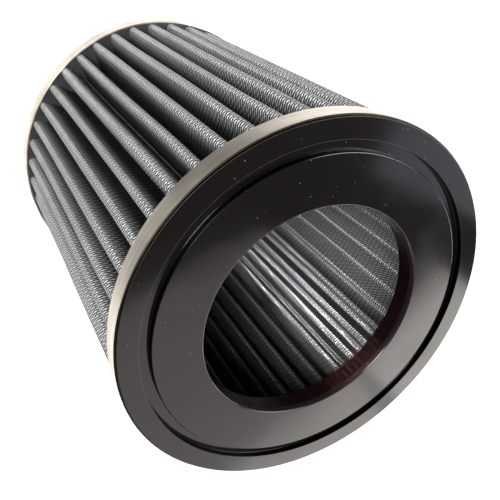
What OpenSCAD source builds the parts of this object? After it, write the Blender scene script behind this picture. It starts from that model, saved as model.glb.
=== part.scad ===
// A cylindrical pleated air filter with one open end.
// It stands on its closed end, mouth up, with the origin at bottom centre.

/* [Overall] */
// Height from the closed end to the sealing face
filter_h = 178; // [120:1:260]
// Diameter of both end caps
cap_d = 148; // [130:1:180]
// Height of each end cap, with the sealant that it holds
cap_h = 9; // [8:0.5:14]
// Rounding of the end caps' outer edges
cap_round = 0.3; // [0.2:0.1:1.2]

/* [Mouth] */
// Diameter of the mouth in the front cap
mouth_d = 87.4; // [60:0.2:100]
// Rounding of the mouth's front edge
mouth_round = 0.6; // [0.2:0.1:1.2]

/* [Sealing face] */
// Width of the flat rim outside the ring groove
rim_w = 7.6; // [4:0.1:9]
// Width of the ring groove
groove_w = 4; // [2:0.1:5]
// Depth of the ring groove
groove_depth = 2.5; // [1:0.1:3]
// Rounding of the ring groove's two front edges
groove_round = 0.3; // [0.1:0.1:0.6]

/* [Bands] */
// Thickness of the metal bands
band_t = 0.6; // [0.4:0.1:1.5]
// How far each cap's face stands proud of its band
band_setback = 1; // [0.4:0.1:2]
// Rounding of the bands' outer edges
band_round = 0.2; // [0.1:0.05:0.3]

/* [Pleats] */
// Number of pleats
pleat_count = 44; // [30:1:56]
// Depth of the pleats, from crest to inner fold
pleat_depth = 13.5; // [9:0.5:18]
// Thickness of each wire screen
screen_t = 0.35; // [0.3:0.05:0.6]
// Thickness of the filtering sheet between the screens
media_t = 0.35; // [0.3:0.05:0.8]
// Inside radius of each crest's fold
crest_fold_r = 1; // [0.4:0.1:1.4]
// Inside radius of each inner fold
inner_fold_r = 0.3; // [0.1:0.05:0.6]

/* [Seam strip] */
// Direction of the crest that the strip covers, seen from the mouth
seam_a = -86.8; // [-180:0.2:180]
// Thickness of the strip
strip_t = 0.3; // [0.2:0.05:0.5]
// Length of the strip's short leg
strip_short = 2; // [1.8:0.1:7]
// Length of the strip's long leg
strip_long = 8.5; // [3:0.1:8.8]
// Width of the hem that is folded back along each leg's edge
hem_w = 1; // [0.6:0.1:1.6]
// Gap between the strip and the bands
strip_gap = 0.2; // [0.1:0.1:1]

/* [Sealant beds] */
// Depth of the sealant in each end cap
bed_depth = 4; // [3:0.1:4.5]
// Sealant under the pleats' cut edges
bed_floor = 0.8; // [0.4:0.1:1.4]
// How far the sealant stays below the band's inner edge
bed_recess = 0.6; // [0.3:0.1:1]
// Gap between the inner folds and the caps' locating walls
fold_gap = 0.5; // [0.3:0.1:1.5]
// Thickness of the rear cap's locating wall
locator_t = 3; // [2:0.1:6]

/* [Hidden] */
// Smoothness of the large rounds and of the small edge rounds
$fn = 96;
edge_fn = 16;
// How far a cut runs past the surface that it opens
past = 0.5;

// Radii of the caps, the mouth, the groove and the bands
cap_r = cap_d / 2;
mouth_r = mouth_d / 2;
groove_outer_r = cap_r - rim_w;
groove_inner_r = groove_outer_r - groove_w;
band_r = cap_r + band_t;

// The pleated sheet is three layers, and a depth in it counts from its inner face
sheet_t = 2 * screen_t + media_t;
media_inner = screen_t;
media_outer = screen_t + media_t;

// Each crest and each inner fold is an arc about its own centre
crest_r = cap_r - strip_gap - strip_t;
inner_r = crest_r - pleat_depth;
nose_r = inner_fold_r + sheet_t;
crest_c = crest_r - sheet_t - crest_fold_r;
valley_c = inner_r + nose_r;
half_pitch = 180 / pleat_count;

// The flanks are the tangents between those arcs, at these angles to the folds
fold_run = valley_c * cos(half_pitch) - crest_c;
fold_side = valley_c * sin(half_pitch);
fold_span = sqrt(fold_run * fold_run + fold_side * fold_side);
flank_a = atan2(fold_side, fold_run) - acos((crest_fold_r + nose_r) / fold_span);
valley_a = flank_a - half_pitch;
// Largest radius of fold that gets one more straight step
fold_step = 0.45;

// Levels in each cap, counted from its outer face towards the pleats
bed_top = cap_h - bed_recess;
bed_base = bed_top - bed_depth;
pleat_end = bed_base + bed_floor;
locator_r = inner_r - fold_gap;

// A point at a distance and a direction
function polar(r, a) = [r * cos(a), r * sin(a)];

// How many straight steps a fold of this radius has
function fold_steps(r) = max(1, ceil(r / fold_step));

// The fold at a crest, and the one at a valley, each at a depth in the sheet
function crest_fold(depth, a) = let (r = crest_fold_r + depth, n = fold_steps(r)) [
    for (i = [0 : n]) polar(crest_c, a) + polar(r, a + flank_a * (2 * i / n - 1))
];
function valley_fold(depth, a) = let (r = nose_r - depth, n = fold_steps(r)) [
    for (i = [0 : n]) polar(valley_c, a) - polar(r, a - valley_a * (2 * i / n - 1))
];

// The closed outline that runs through all pleats at a depth in the sheet
function pleat_outline(depth) = [
    for (i = [0 : pleat_count - 1]) let (a = 2 * half_pitch * i)
        each concat(crest_fold(depth, a), valley_fold(depth, a + half_pitch))
];

// Cut through a layer of the pleated sheet between two depths
module layer_area(inner_depth, outer_depth) {
    difference() {
        polygon(pleat_outline(outer_depth));
        polygon(pleat_outline(inner_depth));
    }
}

// A point on a flank of the covered crest, at a run down from the crest's fold
function flank_point(side, depth, run) =
    [crest_c, 0]
    + polar(crest_fold_r + depth, side * flank_a)
    + polar(run, side * (flank_a + 90));

// One leg's edge, from the crest's fold to the foot of the folded hem
function hemmed_leg(side, leg) = [
    flank_point(side, sheet_t + strip_t, leg - hem_w),
    flank_point(side, sheet_t + 2 * strip_t, leg - hem_w),
    flank_point(side, sheet_t + 2 * strip_t, leg),
    flank_point(side, sheet_t, leg)
];

function reversed(points) = [for (i = [len(points) - 1 : -1 : 0]) points[i]];

// Cut through the strip, which folds over the crest and down both its flanks
module strip_area() {
    polygon(concat(
        crest_fold(sheet_t + strip_t, 0),
        hemmed_leg(1, strip_short),
        reversed(crest_fold(sheet_t, 0)),
        reversed(hemmed_leg(-1, strip_long))
    ));
}

// Turns a cut so that a crest lies under the strip, and gives it the pleats' length
module pleat_length() {
    translate([0, 0, pleat_end])
        rotate(seam_a)
            linear_extrude(filter_h - 2 * pleat_end)
                children();
}

// Puts what is drawn for the rear end on the front end
module at_front() {
    translate([0, 0, filter_h])
        mirror([0, 0, 1])
            children();
}

// What a rounding takes off a corner that points along +X and +Y
module corner_cut(r) {
    translate([-r, -r])
        difference() {
            square(r + past);
            circle(r, $fn = edge_fn);
        }
}

// Section of a cap: a plate, and the wall that locates the pleats.
// The radius runs along X, and Y runs in from the cap's outer face.
module cap_section(plate_inner_r, wall_inner_r) {
    difference() {
        union() {
            translate([plate_inner_r, 0])
                square([cap_r - plate_inner_r, bed_base]);
            translate([wall_inner_r, 0])
                square([locator_r - wall_inner_r, cap_h]);
        }
        translate([cap_r, 0])
            mirror([0, 1])
                corner_cut(cap_round);
    }
}

// Section of the ring groove with its two rounded edges
module groove_section() {
    translate([groove_inner_r, -past])
        square([groove_w, past + groove_depth]);
    translate([groove_inner_r, 0])
        mirror([0, 1])
            corner_cut(groove_round);
    translate([groove_outer_r, 0])
        rotate(180)
            corner_cut(groove_round);
}

module front_cap() {
    color("#1b1819")
        at_front()
            rotate_extrude()
                difference() {
                    cap_section(mouth_r, mouth_r);
                    groove_section();
                    translate([mouth_r, 0])
                        rotate(180)
                            corner_cut(mouth_round);
                }
}

module rear_cap() {
    color("#1b1819")
        rotate_extrude()
            cap_section(0, locator_r - locator_t);
}

// A hoop that grips the cap's rim and holds the sealant in behind it
module band() {
    color("#c8bda8")
        rotate_extrude()
            difference() {
                translate([cap_r, band_setback])
                    square([band_t, cap_h - band_setback]);
                translate([band_r, band_setback])
                    mirror([0, 1])
                        corner_cut(band_round);
                translate([band_r, cap_h])
                    corner_cut(band_round);
            }
}

module front_band() {
    at_front() band();
}

module rear_band() {
    band();
}

// The sealant that set round the pleats' ends, with the slot that they stand in
module potting() {
    color("#35363a")
        difference() {
            translate([0, 0, bed_base])
                linear_extrude(bed_depth)
                    difference() {
                        circle(cap_r);
                        circle(locator_r);
                    }
            translate([0, 0, pleat_end])
                linear_extrude(bed_depth)
                    rotate(seam_a) {
                        layer_area(0, sheet_t);
                        strip_area();
                    }
        }
}

module front_potting() {
    at_front() potting();
}

module rear_potting() {
    potting();
}

module outer_screen() {
    color("#6b6c70")
        pleat_length()
            layer_area(media_outer, sheet_t);
}

module filter_media() {
    color("#242426")
        pleat_length()
            layer_area(media_inner, media_outer);
}

module inner_screen() {
    color("#5c5d61")
        pleat_length()
            layer_area(0, media_inner);
}

module seam_strip() {
    color("#8a8b90")
        pleat_length()
            strip_area();
}

front_cap();
front_band();
front_potting();
outer_screen();
filter_media();
inner_screen();
seam_strip();
rear_potting();
rear_band();
rear_cap();
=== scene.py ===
import math

import bmesh
import bpy
from mathutils import Matrix, Vector, noise


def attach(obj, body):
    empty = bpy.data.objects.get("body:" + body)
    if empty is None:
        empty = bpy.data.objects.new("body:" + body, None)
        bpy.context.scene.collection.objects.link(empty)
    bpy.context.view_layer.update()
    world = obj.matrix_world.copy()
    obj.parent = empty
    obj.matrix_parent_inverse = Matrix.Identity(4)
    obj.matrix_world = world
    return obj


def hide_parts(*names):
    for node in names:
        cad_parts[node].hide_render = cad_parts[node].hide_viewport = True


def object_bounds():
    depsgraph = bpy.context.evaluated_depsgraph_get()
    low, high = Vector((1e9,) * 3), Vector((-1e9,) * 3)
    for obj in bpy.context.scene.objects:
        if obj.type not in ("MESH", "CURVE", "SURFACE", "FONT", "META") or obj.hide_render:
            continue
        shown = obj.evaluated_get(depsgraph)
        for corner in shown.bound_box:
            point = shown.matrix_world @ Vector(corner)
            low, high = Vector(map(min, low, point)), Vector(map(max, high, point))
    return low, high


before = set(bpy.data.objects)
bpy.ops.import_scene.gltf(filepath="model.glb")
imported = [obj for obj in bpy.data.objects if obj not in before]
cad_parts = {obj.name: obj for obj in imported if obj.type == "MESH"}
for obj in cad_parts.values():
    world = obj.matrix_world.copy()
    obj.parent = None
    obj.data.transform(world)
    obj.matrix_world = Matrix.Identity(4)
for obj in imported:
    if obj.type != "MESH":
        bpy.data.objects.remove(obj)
cad_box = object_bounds()

# The camera
# It looks down into the mouth from the front and is rolled well past level,
# as the photograph was taken. Its place is in the filter's own frame.
camera = bpy.data.objects.new("camera", bpy.data.cameras.new("camera"))
bpy.context.collection.objects.link(camera)
bpy.context.scene.camera = camera
camera_place = Vector((0, -0.1701, 0.3333))
camera_heading = math.radians(86.45)
camera_rise = math.radians(-51.18)
camera_roll = math.radians(138.49)
camera.matrix_world = (
    Matrix.Translation(camera_place)
    @ Matrix.Rotation(camera_heading - math.pi / 2, 4, "Z")
    @ Matrix.Rotation(math.pi / 2 + camera_rise, 4, "X")
    @ Matrix.Rotation(camera_roll, 4, "Z")
)
camera.data.lens = 45.02
camera.data.sensor_width = 36
camera.data.shift_x = 0.0405
camera.data.shift_y = 0.0276
camera.data.clip_start = 0.01

# The rear cap
# The closed end: one black plastic moulding, a plate with a low ring wall
# inside that locates the inner folds of the pleats.
mm = 0.001
filter_h = cad_box[1].z
cap_r = 74 * mm
cap_h = 9 * mm
plate_t = 4.4 * mm
locator_r = 59.5 * mm
locator_t = 3 * mm
cap_round = 0.3 * mm
locator_round = 0.3 * mm
locator_fillet = 0.5 * mm
mouth_r = 43.7 * mm
groove_inner_r = 62.4 * mm
groove_depth = 2.5 * mm
groove_floor = filter_h - groove_depth


def turned(name, corners, steps=224):
    """Turns a section about the filter's axis. Each corner has a radius, a
    height and a rounding, and the section's inside is on its left."""
    bm = bmesh.new()
    verts = [bm.verts.new((r, 0, z)) for r, z, rounding in corners]
    bm.faces.new(verts)
    for vert, (r, z, rounding) in zip(verts, corners):
        if rounding:
            bmesh.ops.bevel(
                bm, geom=[vert], offset=rounding, offset_type="OFFSET",
                segments=5, profile=0.5, affect="VERTICES", material=-1,
            )
    bmesh.ops.delete(bm, geom=list(bm.faces), context="FACES_ONLY")
    on_axis = [e for e in bm.edges if all(v.co.x < mm / 100 for v in e.verts)]
    bmesh.ops.delete(bm, geom=on_axis, context="EDGES")
    bmesh.ops.spin(
        bm, geom=bm.verts[:] + bm.edges[:], cent=(0, 0, 0), axis=(0, 0, 1),
        angle=2 * math.pi, steps=steps, use_merge=True,
    )
    bmesh.ops.remove_doubles(bm, verts=bm.verts, dist=mm / 1000)
    bmesh.ops.recalc_face_normals(bm, faces=bm.faces)
    return finished(name, bm)


def finished(name, bm, sharp=35):
    """Makes the mesh an object, smooth but for edges over the sharp angle."""
    mesh = bpy.data.meshes.new(name)
    bm.to_mesh(mesh)
    bm.free()
    mesh.polygons.foreach_set("use_smooth", [True] * len(mesh.polygons))
    mesh.set_sharp_from_angle(angle=math.radians(sharp))
    piece = bpy.data.objects.new(name, mesh)
    bpy.context.collection.objects.link(piece)
    normals = piece.modifiers.new("normals", "WEIGHTED_NORMAL")
    normals.keep_sharp = True
    return piece


class Wire:
    """A socket of a material's nodes, so that shader maths reads as sums."""

    def __init__(self, tree, socket):
        self.tree = tree
        self.socket = socket

    def node(self, kind, values, out=0, **settings):
        """Adds a node, sets it up, and fills its sockets by name or number."""
        node = self.tree.nodes.new(kind)
        for key, value in settings.items():
            setattr(node, key, value)
        for key, value in values.items():
            if isinstance(value, Wire):
                self.tree.links.new(value.socket, node.inputs[key])
            else:
                node.inputs[key].default_value = value
        return Wire(self.tree, node.outputs[out])

    def output(self, name):
        """Another output of the node that this socket is on."""
        return Wire(self.tree, self.socket.node.outputs[name])

    def maths(self, operation, *others):
        values = dict(enumerate((self, *others)))
        return self.node("ShaderNodeMath", values, operation=operation)

    def __add__(self, other):
        return self.maths("ADD", other)

    def __mul__(self, other):
        return self.maths("MULTIPLY", other)

    def __sub__(self, other):
        return self.maths("SUBTRACT", other)

    def __truediv__(self, other):
        return self.maths("DIVIDE", other)

    def __rsub__(self, other):
        return (self * -1) + other

    def __pow__(self, other):
        return self.maths("POWER", other)

    __radd__ = __add__
    __rmul__ = __mul__

    def clamped(self):
        return self.maths("MAXIMUM", 0).maths("MINIMUM", 1)

    def step(self, low, high):
        """0 below low, 1 above high, and smooth between."""
        values = {"Value": self, "From Min": low, "From Max": high}
        return self.node(
            "ShaderNodeMapRange", values, interpolation_type="SMOOTHSTEP"
        )

    def noise(self, scale, detail=2.0, roughness=0.5):
        values = {"Vector": self, "Scale": scale, "Detail": detail, "Roughness": roughness}
        return self.node("ShaderNodeTexNoise", values)

    def scaled(self, x, y, z):
        return self.node("ShaderNodeMapping", {"Vector": self, "Scale": (x, y, z)})

    def parts(self):
        """The three coordinates of a vector."""
        split = self.node("ShaderNodeSeparateXYZ", {0: self})
        return [split.output(axis) for axis in "XYZ"]

    def from_axis(self):
        """How far a place lies from the filter's axis."""
        flat = self.scaled(1, 1, 0)
        return flat.node("ShaderNodeVectorMath", {0: flat}, out=1, operation="LENGTH")

    def mix(self, first, second):
        """A colour between two, by this factor."""
        values = {0: self, 6: rgba(first), 7: rgba(second)}
        return self.node("ShaderNodeMix", values, out=2, data_type="RGBA")


def rgba(colour):
    return colour if isinstance(colour, Wire) else (*colour, 1)


class Finish:
    """A material with its shader, and the coordinates that it starts from."""

    def __init__(self, name, **constants):
        self.material = bpy.data.materials.new(name)
        self.material.use_nodes = True
        tree = self.material.node_tree
        self.shader = tree.nodes["Principled BSDF"]
        shaded = Wire(tree, self.shader.outputs[0])
        coordinates = shaded.node("ShaderNodeTexCoord", {})
        self.place = coordinates.output("Object")
        self.uv = coordinates.output("UV")
        self.set(**constants)

    def set(self, **values):
        """Sets or links sockets of the shader: base_color is Base Color."""
        for key, value in values.items():
            socket = self.shader.inputs[key.replace("_", " ").title().replace("Ior", "IOR")]
            if isinstance(value, Wire):
                value.tree.links.new(value.socket, socket)
            elif isinstance(value, tuple):
                socket.default_value = (*value, 1)
            else:
                socket.default_value = value

    def relief(self, height, depth, strength=1.0):
        values = {"Height": height, "Distance": depth, "Strength": strength}
        self.set(normal=height.node("ShaderNodeBump", values))

    def on(self, piece):
        piece.data.materials.clear()
        piece.data.materials.append(self.material)


def moulded_black():
    """Glossy black moulding, faintly uneven, with dust, smears and scratches.
    The walls of the ring groove, and the rim's side above the groove's floor,
    are black metal that mirrors nothing: painted shade. The rims' edges are
    duller than the faces, and the mouth's wall has a reddish tint."""
    finish = Finish("moulded_black", ior=1.5)
    place = finish.place
    height = place.parts()[2]
    radius = place.from_axis()
    smears = place.noise(38, 3).step(0.52, 0.72)
    cloudy = place.noise(14, 2)
    cells = {"Vector": place, "Scale": 700.0}
    specks = place.node("ShaderNodeTexVoronoi", cells)
    chosen = place.node("ShaderNodeTexVoronoi", cells, out=1).parts()[0].step(0.92, 0.94)
    dust = specks.step(0.15, 0.05) * chosen
    scratched = place.scaled(900, 60, 60).noise(1, 1).step(0.7, 0.76)
    colour = dust.mix((0.0034, 0.0024, 0.0025), (0.15, 0.15, 0.155))
    by_mouth = radius.step(mouth_r + 0.9 * mm, mouth_r + 0.3 * mm)
    finish.set(base_color=by_mouth.mix(colour, (0.0065, 0.0024, 0.0023)))
    by_groove = radius.step(groove_inner_r - 2.4 * mm, groove_inner_r - 1.4 * mm)
    mouth_edge = height.step(filter_h - 0.4 * mm, filter_h - 0.2 * mm)
    groove_edge = height.step(filter_h - 0.07 * mm, filter_h - 0.04 * mm)
    above_floor = height.step(groove_floor + 0.1 * mm, groove_floor + 0.3 * mm)
    walls = above_floor - mouth_edge * (1 - by_groove) - groove_edge * by_groove
    # The walls' black metal mirrors nothing: painted shade in the ring groove and on the rim's
    # side.
    finish.set(metallic=walls * by_groove)
    rim_edge = radius.step(cap_r - 0.32 * mm, cap_r - 0.22 * mm)
    dull = walls.maths("MAXIMUM", rim_edge)
    matt = cloudy * 0.07 + smears * 0.06 + dust * 0.4 + scratched * 0.04 + dull * 0.4
    finish.set(roughness=matt + 0.075)
    finish.relief(place.noise(30, 2), 0.1 * mm, 0.5)
    return finish


def root_piece(piece, node, finish):
    """The piece rides on the filter's one body and stands for its CAD node."""
    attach(piece, "root")
    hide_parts(node)
    finish.on(piece)


black = moulded_black()
rear_cap = turned("rear_cap_moulding", [
    (0, 0, 0),
    (cap_r, 0, cap_round),
    (cap_r, plate_t, 0),
    (locator_r, plate_t, 0),
    (locator_r, cap_h, locator_round),
    (locator_r - locator_t, cap_h, locator_round),
    (locator_r - locator_t, plate_t, locator_fillet),
    (0, plate_t, 0),
])
root_piece(rear_cap, "rear_cap", black)

# The rear band
# A hoop of thin metal, pressed round the cap's rim. It is brushed round its
# circumference and has a pale champagne tint.
band_t = 0.6 * mm
band_setback = 1 * mm
band_round = 0.08 * mm


def brushed_metal():
    """Fine lines round the hoop, with a few deeper ones and cloudy patches.
    The cut edge next to the cap's face is coloured dark and made rough: painted shade."""
    finish = Finish("brushed_champagne", metallic=1.0)
    finish.set(anisotropic=0.75, anisotropic_rotation=0.25)
    place = finish.place
    fine = place.scaled(40, 40, 6000).noise(1, 3, 0.6)
    deep = place.scaled(25, 25, 1900).noise(1, 2)
    patches = place.noise(60, 2)
    tone = (fine * 0.9 + deep + patches - 0.95).clamped()
    colour = tone.mix((0.34, 0.285, 0.225), (0.92, 0.845, 0.73))
    from_middle = (place.parts()[2] - filter_h / 2).maths("ABSOLUTE")
    band_end = filter_h / 2 - band_setback
    # Painted shade: the band's cut ends by the caps' faces are coloured dark, so they catch no
    # light.
    shaded_cut_edge = from_middle.step(band_end - 0.09 * mm, band_end - 0.03 * mm)
    finish.set(base_color=shaded_cut_edge.mix(colour, (0.06, 0.05, 0.04)))
    finish.set(roughness=fine * 0.16 + patches * 0.1 + shaded_cut_edge * 0.3 + 0.2)
    finish.relief(fine + deep * 0.8, 0.03 * mm, 0.6)
    return finish


def hoop(name, outer_end, inner_end):
    """A band from near a cap's face to the pleats."""
    low, high = sorted((outer_end, inner_end))
    return turned(name, [
        (cap_r, low, 0),
        (cap_r + band_t, low, band_round),
        (cap_r + band_t, high, band_round),
        (cap_r, high, 0),
    ])


champagne = brushed_metal()
rear_band = hoop("rear_hoop", band_setback, cap_h)
root_piece(rear_band, "rear_band", champagne)

# The sealant beds
# Dark grey rubbery sealant, poured into each cap round the pleats' cut ends.
# It set with a smooth satin skin.


def set_sealant():
    """Rubbery sealant with a lumpy skin."""
    finish = Finish("set_sealant")
    lumps = finish.place.noise(220, 3)
    finish.set(base_color=lumps.mix((0.012, 0.012, 0.014), (0.03, 0.03, 0.033)))
    finish.set(roughness=lumps * 0.2 + 0.3)
    finish.relief(lumps, 0.25 * mm, 0.5)
    return finish


sealant = set_sealant()
for bed in ("rear_potting", "front_potting"):
    sealant.on(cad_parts[bed])

# The inner screen
# Black coated wire, plain woven at 16 by 18 wires to the inch and folded with
# the cloth. Its folds bow a little between the two beds.
pleat_count = 44
crest_r = 73.5 * mm
pleat_depth = 13.5 * mm
crest_fold_r = 1 * mm
inner_fold_r = 0.3 * mm
screen_t = 0.35 * mm
cloth_t = 0.35 * mm
pleat_end = 5.2 * mm
seam_turn = math.radians(-86.8)
bow_turn = 0.011
bow_depth = 0.35 * mm
bow_waves = 9
bow_run = 30 * mm
inch_in_mm = 25.4
wires_round = 16
wires_along = 18
sheet_t = 2 * screen_t + cloth_t
nose_r = inner_fold_r + sheet_t
inner_r = crest_r - pleat_depth
crest_c = crest_r - sheet_t - crest_fold_r
valley_c = inner_r + nose_r
half_pitch = math.pi / pleat_count
valley_place = Matrix.Rotation(half_pitch, 4, "Z") @ Vector((valley_c, 0, 0))
fold_span = valley_place - Vector((crest_c, 0, 0))
flank_lean = math.acos((crest_fold_r + nose_r) / fold_span.length)
flank_a = math.atan2(fold_span.y, fold_span.x) - flank_lean
valley_a = flank_a - half_pitch


def polar(r, a):
    return Vector((r * math.cos(a), r * math.sin(a), 0))


def only(geometry, kind):
    """The points, or the edges, of what an operator gives back."""
    return [item for item in geometry if isinstance(item, kind)]


def new_sheet():
    """An empty mesh whose points can note how far along the folds they are."""
    bm = bmesh.new()
    bm.verts.layers.float.new("across")
    return bm


def folded_wire(bm, start, centre, turn, steps):
    """Spins a point about a fold's centre and returns the fold's last point."""
    spun = bmesh.ops.spin(
        bm, geom=[start], cent=centre, axis=(0, 0, 1), angle=turn, steps=steps
    )
    return only(spun["geom_last"], bmesh.types.BMVert)[0]


def drawn_on(bm, start, end):
    """Draws a straight flank from a point to the next fold."""
    vert = bmesh.ops.extrude_vert_indiv(bm, verts=[start])["verts"][0]
    vert.co = end
    return vert


def bowed(place):
    """Moves a point of the pleats with their slight bow. It grows over a run
    from each cap, and it is least at the inner folds."""
    a = math.atan2(place.y, place.x)
    r = place.xy.length
    from_cap = (min(place.z, filter_h - place.z) - cap_h) / bow_run
    share = max(0.25, (r - inner_r) / (13 * mm))
    amount = max(0.0, min(1.0, from_cap)) ** 2 * share
    around = Vector((bow_waves * math.cos(a), bow_waves * math.sin(a), bow_waves * place.z))
    a += bow_turn * amount * noise.noise(around)
    r += bow_depth * amount * (noise.noise(around + Vector((0, 0, 40))) - 0.3)
    return Vector((r * math.cos(a), r * math.sin(a), place.z))


def raised(bm, wire, lengths=16):
    """Draws a wire up to the pleats' length, then lays the weave's map on it in
    millimetres: across by the folded length, and along the filter by height."""
    across = bm.verts.layers.float["across"]
    length = 0
    for before, vert in zip([wire[0]] + wire, wire):
        length += (vert.co - before.co).length
        vert[across] = length
    total = length + (wire[0].co - wire[-1].co).length
    step = (filter_h - 2 * pleat_end) / lengths
    bmesh.ops.translate(bm, verts=bm.verts, vec=(0, 0, pleat_end))
    edges = bm.edges[:]
    for _ in range(lengths):
        grown = bmesh.ops.extrude_edge_only(bm, edges=edges)["geom"]
        verts = only(grown, bmesh.types.BMVert)
        edges = only(grown, bmesh.types.BMEdge)
        bmesh.ops.translate(bm, verts=verts, vec=(0, 0, step))
    bmesh.ops.rotate(bm, verts=bm.verts, matrix=Matrix.Rotation(seam_turn, 3, "Z"))
    bmesh.ops.recalc_face_normals(bm, faces=bm.faces)
    weave = bm.loops.layers.uv.new("weave")
    for face in bm.faces:
        furthest = max(loop.vert[across] for loop in face.loops)
        for loop in face.loops:
            u = loop.vert[across]
            if furthest - u > total / 2:
                u += total
            loop[weave].uv = (u / mm, loop.vert.co.z / mm)
    for vert in bm.verts:
        vert.co = bowed(vert.co)


def thickened(piece, thickness, offset):
    """Gives a folded sheet its thickness. Its modifier comes before the normals."""
    wall = piece.modifiers.new("wall", "SOLIDIFY")
    wall.thickness = thickness
    wall.offset = offset
    wall.use_even_offset = True
    piece.modifiers.move(len(piece.modifiers) - 1, 0)


def pleated_sheet(name, depth, thickness):
    """A sheet that is folded through all pleats. The depth is its outer
    face's, counted from the inner face of the whole sheet."""
    bm = new_sheet()
    first = bm.verts.new(Vector((crest_c, 0, 0)) + polar(crest_fold_r + depth, -flank_a))
    crest = folded_wire(bm, first, (crest_c, 0, 0), 2 * flank_a, 10)
    foot = drawn_on(bm, crest, valley_place - polar(nose_r - depth, half_pitch + valley_a))
    valley = folded_wire(bm, foot, valley_place, -2 * valley_a, 8)
    drawn_on(bm, valley, Matrix.Rotation(2 * half_pitch, 4, "Z") @ first.co)
    bmesh.ops.spin(
        bm, geom=bm.verts[:] + bm.edges[:], cent=(0, 0, 0), axis=(0, 0, 1),
        angle=2 * math.pi - 2 * half_pitch, steps=pleat_count - 1, use_duplicate=True,
    )
    bmesh.ops.remove_doubles(bm, verts=bm.verts, dist=mm / 1000)
    raised(bm, in_order(bm))
    piece = finished(name, bm)
    thickened(piece, thickness, -1)
    return piece


def in_order(bm):
    """The points of a wire, from its first or from a free end."""
    ends = [v for v in bm.verts if len(v.link_edges) == 1]
    vert = ends[0] if ends else min(bm.verts, key=lambda v: abs(v.co.y) - v.co.x)
    wire = [vert]
    edge = None
    while True:
        onward = [e for e in vert.link_edges if e is not edge]
        if not onward:
            return wire
        edge = onward[0]
        vert = edge.other_vert(vert)
        if vert is wire[0]:
            return wire
        wire.append(vert)


def woven_wire(name, light, gloss, metal, dull, shaded_from, shaded_to, uneven=0.0):
    """Plain weave of round wires: each crossing has the wire that runs along
    the filter on top, or the one that runs across, turn by turn. The wires
    across are the stout ones. Painted shade darkens the wires along, each wire
    across where it dips under, and the folds between two radii. Where it is
    uneven, one side is painted lit all over and the other painted shaded."""
    grazing_tint = (0.45, 0.45, 0.45)
    finish = Finish(name, specular_tint=grazing_tint)
    radius = finish.place.from_axis()
    side = finish.place.parts()[0]
    # Painted light and shade: where uneven is set, the side towards -x is painted lit all over
    # and the side towards +x painted shaded; between the two radii the folds are darkened, a
    # painted shade.
    lit_side = (0 - side).step(15 * mm, 24 * mm) * uneven
    shaded_side = side.step(5.5 * mm, 15 * mm) * uneven
    unshaded = (1 - radius.step(*shaded_from) + radius.step(*shaded_to)).maths("MAXIMUM", lit_side)
    shaded_side_level = 0.3
    painted_shade_level = unshaded * (1 - dull) + dull
    painted_shade_level = (shaded_side_level - painted_shade_level) * shaded_side + painted_shade_level
    along_share = 0.17
    across_share = 0.26
    u, v = finish.uv.parts()[:2]
    column = u / (inch_in_mm / wires_round)
    row = v / (inch_in_mm / wires_along)

    def wire(share, count, run):
        """The round body of the wires that are counted, and the wave that
        takes each over and under along its run."""
        from_wire = ((count + 0.5).maths("FRACT") - 0.5).maths("ABSOLUTE")
        body = (1 - (from_wire / share) ** 2).maths("MAXIMUM", 0).maths("SQRT")
        wave = ((run + count.maths("ROUND")) * math.pi).maths("COSINE")
        return (body, wave)

    body_along, wave_along = wire(along_share, column, row)
    body_across, wave_across = wire(across_share, row, column)
    high_along = body_along * (wave_along * 0.3 + 0.7)
    high_across = body_across * (1.1 - wave_across * 0.2)
    height = high_along.maths("MAXIMUM", high_across)
    wear = finish.place.noise(90, 3)
    bare = height.step(0.05, 0.4)
    across = (high_across - high_along).step(-0.05, 0.15)
    # Painted shade: each wire across is darkened where it dips under a wire along, more so in
    # the shaded folds.
    dip_shade = 1 - (wave_across + 1) * (0.48 - unshaded.maths("MAXIMUM", shaded_side) * 0.36)
    # The wires along are coloured at about a third of the wires across: painted shade. The noise
    # is wear.
    painted_light_and_wear = (across * 0.65 + 0.35) * dip_shade * (wear * 0.4 + 0.8) * painted_shade_level
    coat = painted_light_and_wear.clamped().mix((0, 0, 0), (light, light, light))
    finish.set(base_color=bare.mix((0.006, 0.006, 0.007), coat))
    finish.set(metallic=bare * metal)
    finish.set(roughness=0.85 - bare * gloss - wear * 0.08)
    finish.relief(height, 0.4 * mm)
    return finish


# Painted light: this mesh is coloured lighter than the outer one, the same coated wire, to make
# up for the dimmer light in the bore; one side of the bore is painted lit and the other painted
# shaded.
inner_mesh = woven_wire(
    "inner_wire_mesh", light=1.0, gloss=0.48, metal=0.6, dull=0.04,
    shaded_from=(60.4 * mm, 61.9 * mm), shaded_to=(69 * mm, 71.6 * mm), uneven=1.0,
)
inner_screen = pleated_sheet("inner_wire_screen", screen_t, screen_t)
root_piece(inner_screen, "inner_screen", inner_mesh)

# The filtering cloth
# Dark cloth between the two screens, folded with them. It is what filters,
# and it shows only where it is looked for, behind the mesh.


def filter_cloth():
    """Fine dull threads that cross."""
    finish = Finish("filter_cloth", roughness=0.95)
    u, v = finish.uv.parts()[:2]
    threads = (u * 9).maths("SINE") * (v * 9).maths("SINE")
    finish.set(base_color=threads.step(-1, 1).mix((0.01, 0.01, 0.011), (0.02, 0.02, 0.021)))
    finish.relief(threads, 0.05 * mm)
    return finish


cloth = pleated_sheet("folded_cloth", screen_t + cloth_t, cloth_t)
root_piece(cloth, "filter_media", filter_cloth())

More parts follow.
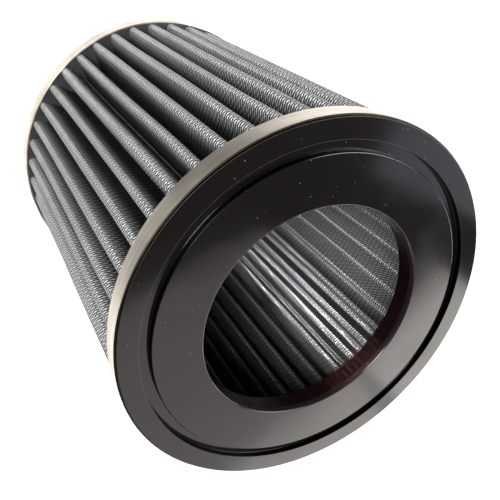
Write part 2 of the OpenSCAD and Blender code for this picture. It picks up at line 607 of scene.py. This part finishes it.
# The outer screen
# The same coated wire mesh on the outside of the pleats, where it takes the
# dirt and stones.
# The folds' deep parts between the given radii get painted shade.
outer_mesh = woven_wire(
    "outer_wire_mesh", light=0.78, gloss=0.38, metal=0.65, dull=0.13,
    shaded_from=(50 * mm, 55 * mm), shaded_to=(66.5 * mm, 72.8 * mm),
)
outer_screen = pleated_sheet("outer_wire_screen", sheet_t, screen_t)
root_piece(outer_screen, "outer_screen", outer_mesh)

# The seam strip
# A strip of the same mesh, folded over the crest where the pleats' two ends
# meet. Each long edge is folded back on itself as a hem.
strip_t = 0.3 * mm
strip_short = 2 * mm
strip_long = 8.5 * mm
hem_w = 1 * mm
hem_r = 0.16 * mm
strip_wall = 0.9 * strip_t
middle = sheet_t + strip_t / 2


def down_flank(side, run, lift=0.0):
    """A point on the strip's leg, at a run down from the crest's fold."""
    centre = Vector((crest_c, 0, 0))
    start = centre + polar(crest_fold_r + middle + lift, side * flank_a)
    return start + polar(run, side * (flank_a + math.pi / 2))


def hemmed(bm, start, side, leg):
    """Draws a leg down its flank and folds its edge back outward."""
    foot = drawn_on(bm, start, down_flank(side, leg))
    turn = folded_wire(bm, foot, down_flank(side, leg, hem_r), side * -math.pi, 6)
    drawn_on(bm, turn, down_flank(side, leg - hem_w, 2 * hem_r))


bm = new_sheet()
first = bm.verts.new(down_flank(-1, 0))
last = folded_wire(bm, first, (crest_c, 0, 0), 2 * flank_a, 10)
hemmed(bm, last, 1, strip_short)
hemmed(bm, first, -1, strip_long)
raised(bm, in_order(bm))
seam_strip = finished("seam_cover_strip", bm)
thickened(seam_strip, strip_wall, 0)
# The strip's flanks between the given radii get painted shade.
strip_mesh = woven_wire(
    "strip_wire_mesh", light=0.82, gloss=0.42, metal=0.65, dull=0.13,
    shaded_from=(64.4 * mm, 65 * mm), shaded_to=(66.5 * mm, 72.5 * mm),
)
root_piece(seam_strip, "seam_strip", strip_mesh)

# The front cap
# The black moulded ring round the mouth. Its flat face has one ring groove,
# and its rim stands a little proud of the band.
mouth_round = 0.6 * mm
groove_w = 4 * mm
groove_outer_r = groove_inner_r + groove_w
groove_fillet = 0.1 * mm
groove_outer_round = 0.2 * mm
groove_inner_round = 0.45 * mm
face = filter_h
plate_back = face - plate_t
cap_back = face - cap_h
front_cap = turned("front_cap_moulding", [
    (mouth_r, face, mouth_round),
    (mouth_r, cap_back, locator_round),
    (locator_r, cap_back, locator_round),
    (locator_r, plate_back, 0),
    (cap_r, plate_back, 0),
    (cap_r, face, cap_round),
    (groove_outer_r, face, groove_outer_round),
    (groove_outer_r, groove_floor, groove_fillet),
    (groove_inner_r, groove_floor, groove_fillet),
    (groove_inner_r, face, groove_inner_round),
])
root_piece(front_cap, "front_cap", black)

# The front band
# The same hoop as at the rear, pressed round the front cap's rim.
front_band = hoop("front_hoop", filter_h - band_setback, cap_back)
root_piece(front_band, "front_band", champagne)

# The studio
# A pale floor that curves up into a wall all round, a tall soft key light on the
# camera's side, and panels behind that the glossy face mirrors. Two narrow beams
# reach in through the mouth, and the front band mirrors a dark card.


def softbox(name, azimuth, rise, size, distance, glow, colour=(1, 1, 1)):
    """A soft light that looks at the filter's middle. Its size is in degrees as
    seen from there, and glow is how bright it looks, where 1 is white."""
    width, height = (2 * distance * math.tan(math.radians(d / 2)) for d in size)
    light = bpy.data.lights.new(name, "AREA")
    light.shape = "RECTANGLE"
    light.size, light.size_y = width, height
    light.energy = glow * width * height * 4
    light.color = colour
    lamp = bpy.data.objects.new(name, light)
    bpy.context.collection.objects.link(lamp)
    a, e = math.radians(azimuth), math.radians(rise)
    out = Vector((math.cos(a) * math.cos(e), math.sin(a) * math.cos(e), math.sin(e)))
    lamp.location = Vector((0, 0, filter_h / 2)) + out * distance
    lamp.rotation_euler = out.to_track_quat("Z", "Y").to_euler()
    return lamp


softbox("key", -75, 52, (17, 44), 1.2, 18)
softbox("soft_panel", 67, 36, (34, 42), 1.5, 1.05, (1.0, 0.95, 0.9))
softbox("warm_panel", 87, 24, (31, 30), 1.4, 1.6, (1.0, 0.97, 0.93))
softbox("warm_core", 98, 26, (13, 28), 1.3, 1.8, (1.0, 0.96, 0.9))
softbox("cool_panel", 121, 41, (12, 18), 1.3, 0.85, (0.8, 0.9, 1.0))
softbox("edge_light", 152, 50, (26, 26), 1.3, 9)
softbox("low_right", 128, 10, (24, 16), 1.3, 7)
softbox("low_left", 30, 8, (16, 12), 1.3, 5)

beams = {"deep_beam": (54, 2.1, -14 * mm), "near_beam": (39, 2.5, 42 * mm)}
for name, (rise, height, lift) in beams.items():
    beam = softbox(name, -87, rise, (0.9, height), 1.2, 8)
    beam.data.spread = math.radians(1)
    beam.data.cycles.max_bounces = 0
    beam.location += Vector((0, 60 * mm, lift))

card_place = Matrix.Translation((0, -0.63, 2 * mm))
sheet = bmesh.new()
bmesh.ops.create_grid(sheet, x_segments=1, y_segments=1, size=0.5)
bmesh.ops.transform(sheet, verts=sheet.verts, matrix=card_place)
card = finished("dark_card", sheet)
card.visible_camera = False
card.visible_shadow = False
Finish("dark_card", base_color=(0.03, 0.03, 0.03), roughness=1.0).on(card)

wall_r = 4.0
wall_h = 1.9
wall_steps = 8
ground = bmesh.new()
bmesh.ops.create_circle(ground, cap_ends=True, segments=96, radius=wall_r)
rim = [e for e in ground.edges if e.is_boundary]
for i in range(wall_steps):
    grown = bmesh.ops.extrude_edge_only(ground, edges=rim)["geom"]
    rim = only(grown, bmesh.types.BMEdge)
    turn = math.pi / 2 * (i + 1) / wall_steps
    for vert in only(grown, bmesh.types.BMVert):
        out = vert.co.xy.normalized() * (wall_r + 0.8 * wall_h * math.sin(turn))
        vert.co = (out.x, out.y, wall_h * (1 - math.cos(turn)))
floor = finished("floor", ground, 60)
pale = Finish("pale_floor", base_color=(0.65, 0.65, 0.65), roughness=1.0, specular_ior_level=0.0)
path = pale.place.node("ShaderNodeLightPath", {})
shown = path.output("Is Camera Ray")
for ray in ("Is Glossy Ray", "Is Transmission Ray"):
    shown = shown.maths("MAXIMUM", path.output(ray))
pale.set(emission_color=shown.mix((0, 0, 0), (1, 1, 1)), emission_strength=0.35)
pale.on(floor)

world = bpy.data.worlds.new("studio")
bpy.context.scene.world = world
world.use_nodes = True
background = world.node_tree.nodes["Background"]
background.inputs["Color"].default_value = (0.96, 0.98, 1, 1)
background.inputs["Strength"].default_value = 0.12

bpy.context.scene.view_settings.view_transform = "Standard"

bpy.context.view_layer.update()
